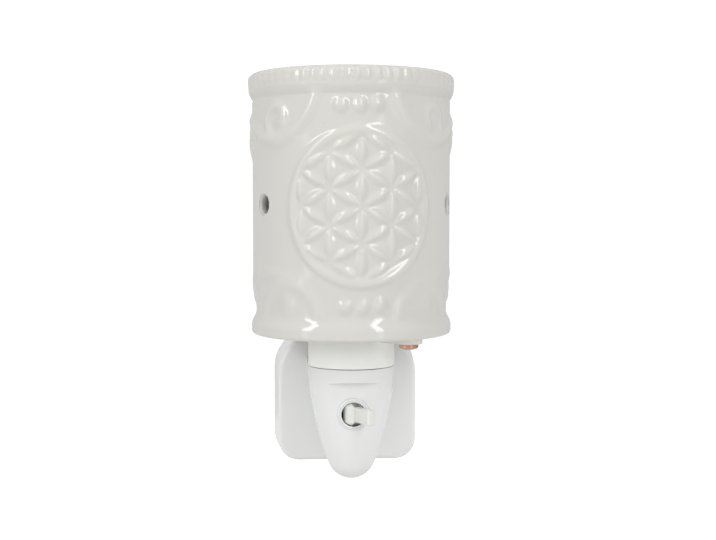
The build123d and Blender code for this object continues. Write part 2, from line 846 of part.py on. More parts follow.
def make_switch_lever():
    root = Plane((0, -paddle_start, 0), x_dir=(1, 0, 0), z_dir=(0, -1, 0))
    end = Plane((0, -paddle_length, 0), x_dir=(1, 0, 0), z_dir=(0, -1, 0))
    paddle = loft([
        root * RectangleRounded(*paddle_root, paddle_round),
        end * RectangleRounded(*paddle_end, paddle_round),
    ])
    paddle = fillet(paddle.faces().sort_by(Axis.Y)[0].edges(), paddle_end_round)
    hub = Cylinder(hub_radius, 2 * hub_end_radius) & level(hub_end_radius, hub_radius, -hub_radius)
    lever = hub + paddle + level(tail_radius, tail_length, 0)
    lever -= bridge_section()
    return tilted(lever) - pivot_hole()


def make_switch_bridge():
    return tilted(bridge_section())


def make_switch_body():
    collar = barrel_radius + switch_collar_wall
    body = level(collar, switch_box_front, switch_front, z=switch_z)
    half_width = switch_width / 2
    half_height = switch_height / 2
    body += block(
        (-half_width, half_width), (switch_box_front, switch_rear),
        (switch_z - half_height, switch_z + half_height))
    barrel_end = facet_y + barrel_length + fit_gap
    body -= level(barrel_radius + fit_gap, barrel_end, switch_front, z=switch_z)
    body -= block(
        (switch_wall - half_width, half_width - switch_wall),
        (barrel_end, switch_rear - switch_wall),
        (switch_z - half_height + switch_wall, switch_z + half_height - switch_wall))
    for z in terminal_zs():
        body -= terminal_block(z, switch_rear, switch_rear - switch_wall)
    return body


def make_switch_terminals():
    return [
        terminal_block(z, switch_rear + terminal_tail, switch_rear - terminal_reach)
        for z in terminal_zs()
    ]


# Wiring

def make_wire(points, radius):
    """Round wire along straight runs, with each bend as wide as its shorter run allows."""
    places = [Vector(*point) for point in points]
    bends = []
    for before, corner, after in zip(places, places[1:], places[2:]):
        arrive = corner - before
        leave = after - corner
        turn = radians(arrive.get_angle(leave))
        bends.append(bend_share * min(arrive.length, leave.length) / tan(turn / 2))
    path = FilletPolyline(*places, radius=bends)
    section = Plane(places[0], z_dir=places[1] - places[0]) * Circle(radius)
    return sweep(section, path=path)


def terminal_middle():
    return sum(terminal_x()) / 2


def make_wire_live_in():
    """From the live pin's tail to the switch's lower terminal."""
    x = terminal_middle()
    y = switch_rear + terminal_tail
    z = terminal_zs()[0]
    return make_wire([
        (pin_x, tail_y, power_pin_z + power_pin_height / 2),
        (pin_x, tail_y, z - wire_radius),
        (wire_lead, y + 2 * wire_lead, z - 2 * wire_radius),
        (x, y + wire_lead, z),
        (x, y, z),
    ], wire_radius)


def make_wire_live_out():
    """From the switch's upper terminal to the lampholder's middle contact."""
    x = terminal_middle()
    y = switch_rear + terminal_tail
    z = terminal_zs()[1]
    top = rivet_end + 2 * wire_radius
    return make_wire([
        (x, y, z),
        (x, y + wire_lead, z),
        (x / 2, y + wire_lead, z + wire_lead),
        (0, neck_y + rivet_radius + wire_lead, top),
        (0, neck_y + rivet_radius, top),
    ], wire_radius)


def make_wire_neutral():
    """From the neutral pin's tail to the tab of the lampholder's shell."""
    x = shell_tab_thickness / 2 - shell_radius
    y = neck_y + shell_tab_width / 2
    z = shell_tab_end + wire_radius
    return make_wire([
        (-pin_x, tail_y, power_pin_z + power_pin_height / 2),
        (-pin_x, tail_y, z - 2 * wire_lead),
        (-pin_x + 2 * wire_radius, y + 3 * wire_lead, z - 2 * wire_radius),
        (x, y + wire_lead, z),
        (x, y, z),
    ], wire_radius)


nodes = {
    "plug_base": make_plug_base(),
    "plug_case": make_plug_case(),
    "case_screws": make_case_screws(),
    "live_pin": make_power_pin(pin_x),
    "neutral_pin": make_power_pin(-pin_x),
    "pin_sleeves": [make_pin_sleeve(pin_x), make_pin_sleeve(-pin_x)],
    "earth_pin": make_earth_pin(),
    "pod_front": make_pod_front(),
    "pod_rear": make_pod_rear(),
    "socket_collar": make_socket_collar(),
    "lampholder_body": make_lampholder_body(),
    "lampholder_shell": make_lampholder_shell(),
    "lampholder_contact": make_lampholder_contact(),
    "bulb_tip_contact": make_bulb_tip_contact(),
    "bulb_insulator": make_bulb_insulator(),
    "bulb_cap": make_bulb_cap(),
    "bulb_glass": make_bulb_glass(),
    "bulb_stem": make_bulb_stem(),
    "bulb_lead_wires": make_bulb_lead_wires(),
    "bulb_filament": make_bulb_filament(),
    "ceramic_shade": make_ceramic_shade(),
    "wax_dish": make_wax_dish(),
    "shade_bracket": make_shade_bracket(),
    "shade_ring": make_shade_ring(),
    "shade_screws": make_shade_screws(),
    "shade_nuts": make_shade_nuts(),
    "switch_bezel": make_switch_bezel(),
    "switch_pivot_pin": make_switch_pivot_pin(),
    "switch_lever": make_switch_lever(),
    "switch_bridge": make_switch_bridge(),
    "switch_body": make_switch_body(),
    "switch_terminals": make_switch_terminals(),
    "wire_live_in": make_wire_live_in(),
    "wire_live_out": make_wire_live_out(),
    "wire_neutral": make_wire_neutral(),
}

os.makedirs("parts", exist_ok=True)
for name, piece in nodes.items():
    solids = piece if isinstance(piece, list) else [piece]
    bodies = [solid for shape in solids for solid in shape.solids()]
    shape = bodies[0] if len(bodies) == 1 else Compound(bodies)
    export_step(shape, os.path.join("parts", name + ".step"))
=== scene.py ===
import json
import math

import bpy
import numpy as np
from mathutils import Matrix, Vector


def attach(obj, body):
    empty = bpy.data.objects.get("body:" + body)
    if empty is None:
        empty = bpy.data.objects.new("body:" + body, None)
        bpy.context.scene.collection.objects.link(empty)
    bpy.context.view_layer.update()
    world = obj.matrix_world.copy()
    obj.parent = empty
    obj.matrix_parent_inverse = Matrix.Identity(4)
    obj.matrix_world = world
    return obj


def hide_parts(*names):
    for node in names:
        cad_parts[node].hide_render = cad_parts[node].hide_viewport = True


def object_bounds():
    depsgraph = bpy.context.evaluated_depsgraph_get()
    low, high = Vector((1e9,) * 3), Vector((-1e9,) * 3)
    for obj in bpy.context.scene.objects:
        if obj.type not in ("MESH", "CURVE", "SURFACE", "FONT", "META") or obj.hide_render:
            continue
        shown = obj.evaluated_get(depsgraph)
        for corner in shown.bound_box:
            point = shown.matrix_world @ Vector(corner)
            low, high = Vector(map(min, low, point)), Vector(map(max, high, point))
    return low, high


# Looks of a plug-in wax melt warmer: a glazed ceramic shade in relief over a lamp, on a mains plug.
# Pieces are drawn in millimetres and turned into metres where a mesh is made. Floor, lights and camera
# are placed in metres.

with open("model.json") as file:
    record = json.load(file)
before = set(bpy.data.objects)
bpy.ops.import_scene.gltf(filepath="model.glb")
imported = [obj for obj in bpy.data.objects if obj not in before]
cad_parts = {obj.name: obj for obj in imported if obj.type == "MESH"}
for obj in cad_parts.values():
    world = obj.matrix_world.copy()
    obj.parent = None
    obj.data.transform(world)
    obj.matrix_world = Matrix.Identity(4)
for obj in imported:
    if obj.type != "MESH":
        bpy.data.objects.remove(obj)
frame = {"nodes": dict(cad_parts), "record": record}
cad_low, cad_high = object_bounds()

MM = 0.001
FULL_TURN = 2 * math.pi
QUARTER_TURN = math.pi / 2
NECK_Y = -40.0          # the neck axis stands at x 0 and this y


# Finishes

EDGE_SAMPLES = 6


class Wire:
    """One shader socket. Arithmetic between wires and numbers adds Math nodes."""

    def __init__(self, tree, socket=None):
        self.tree = tree
        self.socket = socket

    def node(self, kind, settings=None, inputs=None, output=0):
        """Add any node: its settings first, then values or wires for its inputs."""
        made = self.tree.nodes.new(kind)
        for key, value in (settings or {}).items():
            setattr(made, key, value)
        for key, value in (inputs or {}).items():
            if isinstance(value, Wire):
                self.tree.links.new(value.socket, made.inputs[key])
            else:
                made.inputs[key].default_value = value
        return Wire(self.tree, made.outputs[output])

    def maths(self, operation, first, second):
        return self.node("ShaderNodeMath", {"operation": operation}, {0: first, 1: second})

    def __add__(self, other):
        return self.maths("ADD", self, other)

    def __radd__(self, other):
        return self.maths("ADD", other, self)

    def __sub__(self, other):
        return self.maths("SUBTRACT", self, other)

    def __rsub__(self, other):
        return self.maths("SUBTRACT", other, self)

    def __mul__(self, other):
        return self.maths("MULTIPLY", self, other)

    def __rmul__(self, other):
        return self.maths("MULTIPLY", other, self)

    def clamp(self):
        return self.node("ShaderNodeClamp", None, {0: self})

    def between(self, low, high):
        """0 below low, 1 above high, smooth between them."""
        settings = {"interpolation_type": "SMOOTHSTEP"}
        return self.node("ShaderNodeMapRange", settings, {0: self, 1: low, 2: high})

    def mix(self, low, high):
        """The colour low where this is 0 and high where it is 1."""
        return self.node("ShaderNodeMix", {"data_type": "RGBA"}, {0: self, 6: low, 7: high}, 2)

    def noise(self, scale, detail=3.0, stretch=(1.0, 1.0, 1.0)):
        """Noise over the piece's own coordinates, in features per metre."""
        place = self.node("ShaderNodeTexCoord", output="Object")
        place = self.node("ShaderNodeVectorMath", {"operation": "MULTIPLY"}, {0: place, 1: stretch})
        return self.node("ShaderNodeTexNoise", None, {"Vector": place, "Scale": scale, "Detail": detail})

    def attribute(self, name):
        return self.node("ShaderNodeAttribute", {"attribute_name": name}, output="Fac")

    def eased(self, radius):
        """Normals that round edges off by a radius in millimetres."""
        return self.node("ShaderNodeBevel", {"samples": EDGE_SAMPLES}, {"Radius": radius * MM})

    def bump(self, height, depth, normal=None):
        """Normals of a surface that rises by a depth in millimetres where height is 1."""
        inputs = {"Height": height, "Distance": depth * MM}
        if normal:
            inputs["Normal"] = normal
        return self.node("ShaderNodeBump", None, inputs, "Normal")


def linear(red, green, blue):
    """A colour given as the eye sees it, 0 to 255, as shader values."""
    def one(value):
        value /= 255
        return value / 12.92 if value <= 0.04045 else ((value + 0.055) / 1.055) ** 2.4
    return (one(red), one(green), one(blue), 1.0)


def grey(value):
    return (value, value, value, 1.0)


def shaded(colour, share):
    return tuple(channel * share for channel in colour[:3]) + (1.0,)


def start(name):
    """A new material with its surface shader, and a wire to build from."""
    material = bpy.data.materials.new(name)
    material.use_nodes = True
    tree = material.node_tree
    return material, Wire(tree), tree.nodes["Principled BSDF"]


def plug_in(surface, **sockets):
    """Set the shader's sockets, underscores for blanks, to values or wires."""
    for key, value in sockets.items():
        socket = surface.inputs[key.replace("_", " ")]
        if isinstance(value, Wire):
            value.tree.links.new(value.socket, socket)
        else:
            socket.default_value = value


def moulded(name, colour, roughness, grain=0.02):
    """Injection moulded plastic: faint flow marks, a fine spark texture and eased edges."""
    material, wire, surface = start(name)
    flow = wire.noise(45, 4.0, (1.0, 1.0, 0.35))
    speck = wire.noise(1400, 2.0)
    tone = (flow - 0.5) * 0.5 + 0.5 + (speck - 0.5) * 0.12
    plug_in(
        surface,
        Base_Color=tone.clamp().mix(shaded(colour, 0.955), shaded(colour, 1.03)),
        Roughness=(roughness - 0.05) + flow * 0.1,
        Normal=wire.bump(wire.noise(2600, 2.0), grain, wire.eased(0.25)),
        IOR=1.46,
    )
    return material


def plated(name, colour, roughness, streak=(1.0, 1.0, 1.0), tarnish=0.82):
    """Plated or turned metal: brushed streaks, patches of tarnish and eased edges."""
    material, wire, surface = start(name)
    brushed = wire.noise(2200, 2.0, streak)
    wear = wire.noise(160, 4.0).between(0.42, 0.72)
    plug_in(
        surface,
        Base_Color=wear.mix(colour, shaded(colour, tarnish)),
        Roughness=(roughness - 0.05) + brushed * 0.12 + wear * 0.06,
        Metallic=1.0,
        Normal=wire.bump(brushed, 0.012, wire.eased(0.15)),
    )
    return material


def glazed(name, colour, pooled_and_shaded, crest):
    """Poured glaze: thick and greyer in the hollows, thin and paler on the crests, softly rippled. The greyer
    hollows are also painted shade, and the paler, warmer crests a painted highlight.
    """
    material, wire, surface = start(name)
    relief = wire.attribute("relief")
    cloud = wire.noise(38, 3.0)
    ripple = wire.noise(95, 2.0)
    pin = wire.noise(900, 1.0).between(0.74, 0.80)
    # Hollows get the greyer colour as painted shade, and crests the paler, warmer one as a painted highlight,
    # over real pooling of the glaze.
    base = (relief + (cloud - 0.5) * 0.5).clamp().mix(pooled_and_shaded, crest)
    base = (cloud * 0.6).mix(base, colour)
    base = (pin * 0.25).mix(base, shaded(colour, 0.72))
    plug_in(
        surface,
        Base_Color=base,
        Roughness=0.02 + ripple * 0.04,
        Normal=wire.bump(ripple, 0.12),
        IOR=1.52,
    )
    return material


def clear_glass(name, tint):
    """Blown lamp glass with faint waves."""
    material, wire, surface = start(name)
    wave = wire.noise(120, 2.0)
    plug_in(
        surface,
        Base_Color=wave.mix(tint, shaded(tint, 0.96)),
        Roughness=0.02 + wave * 0.03,
        Transmission_Weight=1.0,
        IOR=1.47,
        Normal=wire.bump(wave, 0.03),
    )
    return material


def sheathed(name, colour):
    """Soft wire insulation with a dull, lengthways drawn skin."""
    material, wire, surface = start(name)
    skin = wire.noise(800, 3.0, (1.0, 0.25, 1.0))
    plug_in(
        surface,
        Base_Color=skin.mix(shaded(colour, 0.85), shaded(colour, 1.15)),
        Roughness=0.48 + skin * 0.15,
        Normal=wire.bump(skin, 0.02),
    )
    return material


finishes = {
    # Glaze: its own colour, then the greyer hollow colour that paints shade and the paler, warmer crest
    # colour that paints a highlight.
    "glazed_ceramic_white": glazed(
        "pale_glaze", linear(211, 210, 205), linear(209, 208, 203), linear(213, 210, 203)),
    "white_housing": moulded("housing_white", linear(234, 235, 234), 0.19),
    "bracket_white": moulded("bracket_paint", linear(230, 230, 227), 0.45, 0.05),
    "switch_ivory": moulded("lever_ivory", linear(229, 230, 225), 0.34),
    "copper_screws": plated("screw_copper", linear(214, 166, 142), 0.24, (1.0, 1.0, 0.2), 0.6),
    "zinc_fasteners": plated("fastener_zinc", linear(196, 197, 194), 0.34, (1.0, 0.2, 1.0)),
    "holder_plastic": moulded("holder_cream", linear(226, 222, 210), 0.42, 0.04),
    "brass": plated("pin_brass", linear(218, 182, 105), 0.26, (1.0, 0.12, 1.0)),
    "sleeve_black": moulded("sleeve_black", linear(38, 38, 40), 0.5, 0.03),
    "earth_plastic": moulded("earth_white", linear(228, 228, 225), 0.4),
    "cap_nickel": plated("cap_nickel", linear(206, 203, 196), 0.22, (1.0, 1.0, 0.3)),
    "lamp_glass": clear_glass("lamp_glass", linear(250, 251, 251)),
    "lamp_black": moulded("lamp_black_glass", linear(30, 30, 32), 0.15),
    "lamp_solder": plated("lamp_solder", linear(176, 176, 178), 0.45),
    "lamp_wire": plated("lamp_wire", linear(150, 150, 152), 0.35),
    "wire_live": sheathed("wire_brown", linear(96, 58, 40)),
    "wire_neutral": sheathed("wire_blue", linear(44, 74, 150)),
}
slot_of = {row["node"]: row["material_slot"] for row in frame["record"]["subparts"]}
body_of = {node: body for body, nodes in frame["record"]["behaviour"]["bodies"].items() for node in nodes}
for node, cad in frame["nodes"].items():
    cad.data.materials.clear()
    cad.data.materials.append(finishes[slot_of[node]])


# Meshes

def placed(name, data):
    """A new object in the scene."""
    made = bpy.data.objects.new(name, data)
    bpy.context.scene.collection.objects.link(made)
    return made


def piece(name, points, faces, node, relief=None, finish=None):
    """A smooth mesh in millimetres that stands for one CAD node."""
    mesh = bpy.data.meshes.new(name)
    mesh.from_pydata((np.asarray(points) * MM).tolist(), [], faces)
    mesh.update()
    mesh.shade_smooth()
    mesh.materials.append(finish or finishes[slot_of[node]])
    if relief is not None:
        # The relief attribute steers the glaze between its greyer hollow colour, painted shade, and its paler
        # crest colour, a painted highlight.
        mesh.attributes.new("relief", "FLOAT", "POINT").data.foreach_set("value", relief)
    made = placed(name, mesh)
    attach(made, body_of[node])
    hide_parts(node)


def around(count):
    """Equal steps of angle round a full turn."""
    return np.linspace(0, FULL_TURN, count, endpoint=False)


def stacked(rows, columns, base=0):
    """Loops of point numbers for rows of points that follow each other."""
    return [list(range(base + row * columns, base + (row + 1) * columns)) for row in range(rows)]


def band(first, second):
    """Quads between two closed loops of point numbers."""
    count = len(first)
    return [(first[i], first[(i + 1) % count], second[(i + 1) % count], second[i]) for i in range(count)]


def skin_over(loops):
    """Quads from each closed loop to the next."""
    return [face for low, high in zip(loops, loops[1:]) for face in band(low, high)]


def round_neck(r, turn, z):
    """A point round the neck axis, its angle counted from the front towards +X."""
    return r * math.sin(turn), NECK_Y - r * math.cos(turn), z


# Shade: outline

SHADE_BOTTOM = 26.5
FOOT_R = 34.0
FOOT_ROUND = 1.2
FOOT_Z = 29.3           # top of the foot's upright edge
WAIST_R = 32.4
WAIST_Z = 34.7
BODY_R = 33.5
BODY_LOW = 50.0         # the wall draws in from here down to the waist
CREASE_Z = 105.0        # the sharp inner corner under the rim band
CREASE_DEPTH = 0.16
CREASE_HALF = 0.5
BAND_LOW = 108.3        # the rim band stands upright from here up and slopes in below
RIM_R = 34.7
RIM_Z = 111.5
RIM_ROUND = 2.2
CAVITY_R = 29.6
CAVITY_TOP = 101.0
CAVITY_LOW = 32.5
VENT_R = 2.9
VENT_Z = 70.1
FINE_MARGIN = 2.2       # the inside has rows as fine as the outside this far over and under a vent
COARSE_ROWS = 8
SHADE_TURN = 3.5        # degrees by which the shade is turned on its bracket
VENT_TURNS = [math.radians(SHADE_TURN + side) for side in (66, 114, 246, 294)]
COLUMNS = 576
ROW = 0.42
# Over the rim's inner edge, down the dish's seat and ledge, and the slope under it: radius and height.
SEAT_OUTLINE = [
    (31.2, 113.68), (30.6, 113.5), (30.28, 113.15), (30.2, 112.7), (30.2, 107.72), (30.18, 107.7),
    (27.25, 107.7), (27.07, 107.63), (27.0, 107.45), (27.0, 104.9), (27.1, 104.6), (29.6, 102.1)]
# The shade's own floor with the bore for the neck.
BORE_OUTLINE = [(29.4, 31.7), (28.9, 31.5), (21.7, 31.5), (21.5, 31.3), (21.5, 26.7), (21.7, 26.5)]


def arc_rise(start_r, end_r, start_z, end_z, z):
    """Radius along two equal arcs that leave both ends straight up."""
    half = (end_z - start_z) / 2
    step = (end_r - start_r) / 2
    bend = (half ** 2 + step ** 2) / (2 * abs(step))
    from_start = np.clip(z - start_z, 0, half)
    from_end = np.clip(end_z - z, 0, half)
    low = start_r + np.sign(step) * (bend - np.sqrt(bend ** 2 - from_start ** 2))
    high = end_r - np.sign(step) * (bend - np.sqrt(bend ** 2 - from_end ** 2))
    return np.where(z < start_z + half, low, high)


def wall_radius(z):
    """Plain outside radius of the shade at heights, without its relief."""
    taper = np.clip((BODY_LOW - z) / (BODY_LOW - WAIST_Z), 0, 1)
    r = BODY_R - (BODY_R - WAIST_R) * (1 - np.cos(taper * math.pi)) / 2
    r = np.where(z < WAIST_Z, arc_rise(FOOT_R, WAIST_R, FOOT_Z, WAIST_Z, z), r)
    r = np.where(z < FOOT_Z, FOOT_R, r)
    slope = np.clip((z - CREASE_Z) / (BAND_LOW - CREASE_Z), 0, 1)
    r = r + (RIM_R - BODY_R) * np.sin(slope * QUARTER_TURN) ** 1.2
    return r - CREASE_DEPTH * np.exp(-((z - CREASE_Z + 0.2) / CREASE_HALF) ** 2)


def shade_outside():
    """Outline from the foot up and over the rim: radius, height and the way relief leans up from level."""
    foot_r = FOOT_R - FOOT_ROUND
    foot = [(foot_r + FOOT_ROUND * math.sin(a), SHADE_BOTTOM + FOOT_ROUND * (1 - math.cos(a)), 0.0)
            for a in np.linspace(0, QUARTER_TURN, 6)]
    foot_top = foot[-1][1]
    heights = np.linspace(foot_top, RIM_Z, int((RIM_Z - foot_top) / ROW))[1:]
    wall = [(r, z, 0.0) for r, z in zip(wall_radius(heights), heights)]
    rim = [(RIM_R - RIM_ROUND + RIM_ROUND * math.cos(a), RIM_Z + RIM_ROUND * math.sin(a), a)
           for a in np.linspace(0, QUARTER_TURN, 15)[1:]]
    return np.array(foot + wall + rim).T


def shade_inside(fine):
    """Outline from the rim down the inside to the bore, with given fine rows beside the vents."""
    above = np.linspace(CAVITY_TOP, fine[0] + 2, COARSE_ROWS)
    below = np.linspace(fine[-1] - 2, CAVITY_LOW, COARSE_ROWS)
    cavity = [(CAVITY_R, z) for z in np.concatenate([above, fine, below])]
    return np.array(SEAT_OUTLINE + cavity + BORE_OUTLINE).T


# Shade: relief, drawn on the wall rolled out flat. s runs round from a medallion's middle, t up from the
# height of the vents.

PATTERN_TURN = math.radians(1.8)        # where the middle of the front medallion stands
HALF_TURN = QUARTER_TURN * BODY_R       # from a medallion's middle to the side of the shade
PITCH = 11.67                           # between neighbouring nodes of the flower
SQUEEZE = 0.985                         # the flower is a little narrower than it is tall
MIDDLE_T = -0.7
UPRIGHT_PETAL = (4.7, 2.15)             # half length and half width
SLANTED_PETAL = (5.0, 1.85)
PETAL_HEIGHT = 1.0
RING_R = 24.2
RING_HALF = 2.3
RING_SQUEEZE = 0.95
RING_T = MIDDLE_T - 0.2
RING_HEIGHT = 0.9
# Bosses: s, t and half width, with their half height and how far they stand out.
UPPER_BOSSES = [(-6.6, 31.2, 3.3), (-0.4, 31.0, 2.8), (4.9, 31.4, 2.8)]
UPPER_BOSS = (3.3, 1.3)
LOWER_BOSSES = [(-5.2, -32.4, 3.0), (0.5, -32.6, 2.7), (6.2, -31.8, 2.9)]
LOWER_BOSS = (3.2, 1.2)
# Scrolls: the line to one side of a mirror line, half widths at its ends and how far it stands out.
UPPER_SHIFT = 1.6                       # the upper mirror line stands this far left of the middle
GARLAND = [(13.0, 35.2), (14.4, 31.0), (18.2, 25.8), (24.0, 21.8), (29.5, 20.8), (36.0, 22.0),
           (43.0, 25.0), (48.5, 27.4), (HALF_TURN, 28.0)]
CURL = [(30.5, 21.6), (33.2, 25.0), (32.6, 29.2), (29.4, 31.6), (26.2, 30.6), (25.0, 27.8), (26.4, 25.8)]
UPPER_SCROLLS = [(GARLAND, (2.9, 2.9), 1.05), (CURL, (1.9, 2.3), 0.7)]
LOWER_SHIFT = 0.6
ARCH = [(13.6, -35.4), (15.0, -30.9), (18.4, -27.6), (23.6, -25.2), (29.4, -26.2), (33.8, -28.6),
        (37.0, -32.4), (38.4, -36.0)]
BRANCH = [(18.0, -25.6), (22.4, -23.9), (27.0, -23.0), (34.0, -22.2), (41.0, -22.4), (47.0, -23.6),
          (HALF_TURN, -25.0)]
LOWER_SCROLLS = [(ARCH, (2.8, 2.8), 0.6), (BRANCH, (1.9, 2.6), 0.32)]
EGG = (25.6, -31.6, 4.1, 4.3, 0.6)      # s, t, half width, half height and how far it stands out
FAN = (-56, -28, 0, 28, 56)             # degrees of a palmette's leaves
FAN_REACH = 6.6
HANGING_T = 27.0
HANGING_LEAF = (0.9, 2.2, 1.15)         # half length as a share of the reach, half width, height
STANDING_T = -33.5
STANDING_LEAF = (0.72, 1.8, 0.8)
STANDING_SHARE = 0.8                    # the standing palmette's reach against the hanging one's
RELIEF_LOW = -40.0                      # the relief comes up over a short rise and ends under the rim
RELIEF_RISE = 5.0
RELIEF_HIGH = 37.0
RELIEF_FALL = 2.5
MEDALLION_POOLING = 1                   # passes by which the glaze softens the medallion and the scrolls
SCROLL_POOLING = 6
BEADS = 64                              # bars round the rim
BEAD_HEIGHT = 0.44
BEAD_STRAY = 0.06
BEAD_HALF = 1.6
BEAD_MIDDLE = -0.4                      # up the profile from the rim's widest line
BEAD_STRAIGHT = 0.9                     # from a bar's middle to where its round end begins
CLEAR_TO = math.radians(22)             # the bars stand out this far from a medallion's middle
FILLED_OVER = math.radians(14)          # and fade over this angle
FILLED_SHARE = 0.7
# The inside and the vents' walls are set at these places between the glaze's greyer hollow colour, painted
# shade, and its paler crest colour, a painted highlight.
INSIDE_TONE = 0.35                      # how thin the glaze lies inside and in the vents
VENT_TONE = 0.1


def smooth_line(points, count=60):
    """Points along a smooth curve through a few given ones."""
    points = np.asarray(points, float)
    ends = np.vstack([2 * points[0] - points[1], points, 2 * points[-1] - points[-2]])
    t = np.linspace(0, 1, max(4, count // len(points)), endpoint=False)[:, None]
    line = []
    for a, b, c, d in zip(ends, ends[1:], ends[2:], ends[3:]):
        line.append(0.5 * (2 * b + (c - a) * t + (2 * a - 5 * b + 4 * c - d) * t ** 2
                           + (3 * b - a - 3 * c + d) * t ** 3))
    return np.vstack(line + [points[-1:]])


def rounded(away):
    """Profile of a glazed bead: 1 in the middle, easing to 0 at 1."""
    return np.clip(1 - away ** 2, 0, 1) ** 1.6


def ridge(s, t, line, widths, height):
    """Rounded ridge along a line whose half width runs from the first to the last of two values."""
    best = np.zeros_like(s)
    half = widths[0] + (widths[1] - widths[0]) * np.linspace(0, 1, len(line))
    for (x0, y0), (x1, y1), w0, w1 in zip(line, line[1:], half, half[1:]):
        dx, dy = x1 - x0, y1 - y0
        reach = max(w0, w1)
        near = ((s > min(x0, x1) - reach) & (s < max(x0, x1) + reach)
                & (t > min(y0, y1) - reach) & (t < max(y0, y1) + reach))
        if not near.any():
            continue
        along = np.clip(((s[near] - x0) * dx + (t[near] - y0) * dy) / (dx * dx + dy * dy + 1e-9), 0, 1)
        away = np.hypot(s[near] - x0 - along * dx, t[near] - y0 - along * dy) / (w0 + (w1 - w0) * along)
        crest = height * (0.55 + 0.45 * (w0 + w1) / (2 * widths[0]))
        best[near] = np.maximum(best[near], rounded(away) * crest)
    return best


def leaf(s, t, x, y, turn, length, width, height):
    """Pointed leaf with a soft crest, its long axis turned from upright, in degrees."""
    c, w = math.cos(math.radians(turn)), math.sin(math.radians(turn))
    along = np.abs((s - x) * w + (t - y) * c)
    across = np.abs((s - x) * c - (t - y) * w)
    bend = (length ** 2 + width ** 2) / (2 * width)
    inside = bend - np.hypot(across + bend - width, along)
    return height * (1 - (1 - np.clip(inside / width, 0, 1)) ** 1.6)


def dot(s, t, x, y, wide, tall, height):
    return height * rounded(np.hypot((s - x) / wide, (t - y) / tall))


def folded(s, shift):
    """Distance from a mirror line that stands shift to the left of the medallion's middle."""
    return np.abs(np.mod(s + shift + HALF_TURN, 2 * HALF_TURN) - HALF_TURN)


def petals(s, t):
    """A leaf between every two neighbours of nineteen nodes on a triangular grid."""
    nodes = []
    for column in range(-2, 3):
        rows = 5 - abs(column)
        x = column * PITCH * math.cos(math.pi / 6) * SQUEEZE
        nodes += [(x, (row - (rows - 1) / 2) * PITCH) for row in range(rows)]
    leaves = []
    for i, (x0, y0) in enumerate(nodes):
        for x1, y1 in nodes[i + 1:]:
            if math.hypot(x1 - x0, y1 - y0) < 1.1 * PITCH:
                turn = math.degrees(math.atan2(x1 - x0, y1 - y0))
                size = UPRIGHT_PETAL if x0 == x1 else SLANTED_PETAL
                x, y = (x0 + x1) / 2, (y0 + y1) / 2
                leaves.append(leaf(s, t - MIDDLE_T, x, y, turn, *size, PETAL_HEIGHT))
    return leaves


def medallion(s, t):
    """Flower, ring and bosses of one half of the shade."""
    from_ring = np.abs(np.hypot(s / RING_SQUEEZE, t - RING_T) - RING_R) / RING_HALF
    forms = petals(s, t) + [RING_HEIGHT * rounded(from_ring)]
    forms += [dot(s, t, *boss, *UPPER_BOSS) for boss in UPPER_BOSSES]
    forms += [dot(s, t, *boss, *LOWER_BOSS) for boss in LOWER_BOSSES]
    return np.maximum.reduce(forms)


def scrolls(s, t):
    """Garlands above, arches below and a palmette at each side of the medallion."""
    # Two garlands hang from the rim, each with an egg-shaped curl inside.
    side = folded(s, UPPER_SHIFT)
    forms = [ridge(side, t, smooth_line(line), widths, height) for line, widths, height in UPPER_SCROLLS]
    # Two arches stand on the foot, each over an egg, with a branch out to the sides.
    side = folded(s, LOWER_SHIFT)
    forms += [ridge(side, t, smooth_line(line), widths, height) for line, widths, height in LOWER_SCROLLS]
    forms.append(dot(side, t, *EGG))
    # A palmette hangs where the garlands meet at the sides, and a smaller one stands below.
    side = folded(s, 0.0) - HALF_TURN
    for fan in FAN:
        reach = FAN_REACH - abs(fan) / 40
        x, y = reach * math.sin(math.radians(fan)), reach * math.cos(math.radians(fan))
        length, width, height = HANGING_LEAF
        forms.append(leaf(side, t, x, HANGING_T - y, -fan, length * reach, width, height))
        x, y = STANDING_SHARE * x, STANDING_SHARE * y
        length, width, height = STANDING_LEAF
        forms.append(leaf(side, t, x, STANDING_T + y, fan, length * reach, width, height))
    return np.maximum.reduce(forms)


def soften(height, passes):
    """Let the glaze pool: spread a field of relief over its neighbours, round the shade and up it."""
    for _ in range(passes):
        height = (np.roll(height, 1, 1) + 2 * height + np.roll(height, -1, 1)) / 4
        padded = np.vstack([height[:1], height, height[-1:]])
        height = (padded[:-2] + 2 * height + padded[2:]) / 4
    return height


def rim_beads(turn, along):
    """Short round-ended bars round the rim; along runs up the profile from the rim's widest line.

    They stand out over each medallion and are all but filled with glaze away from it, no two alike."""
    step = FULL_TURN / BEADS
    bar = np.floor(np.mod(turn, FULL_TURN) / step)
    from_front = np.abs(np.mod(turn + QUARTER_TURN, math.pi) - QUARTER_TURN)
    filled = np.clip((from_front - CLEAR_TO) / FILLED_OVER, 0, 1)
    height = BEAD_HEIGHT + BEAD_STRAY * np.sin(2.4 * bar) + BEAD_STRAY * np.sin(5.1 * bar + 1.0)
    across = (np.mod(turn, step) - step / 2) * RIM_R
    beyond = np.maximum(np.abs(along - BEAD_MIDDLE) - BEAD_STRAIGHT, 0)
    profile = 1 - np.clip(np.hypot(across, beyond) / BEAD_HALF, 0, 1) ** 1.7
    return height * (1 - FILLED_SHARE * filled) * profile


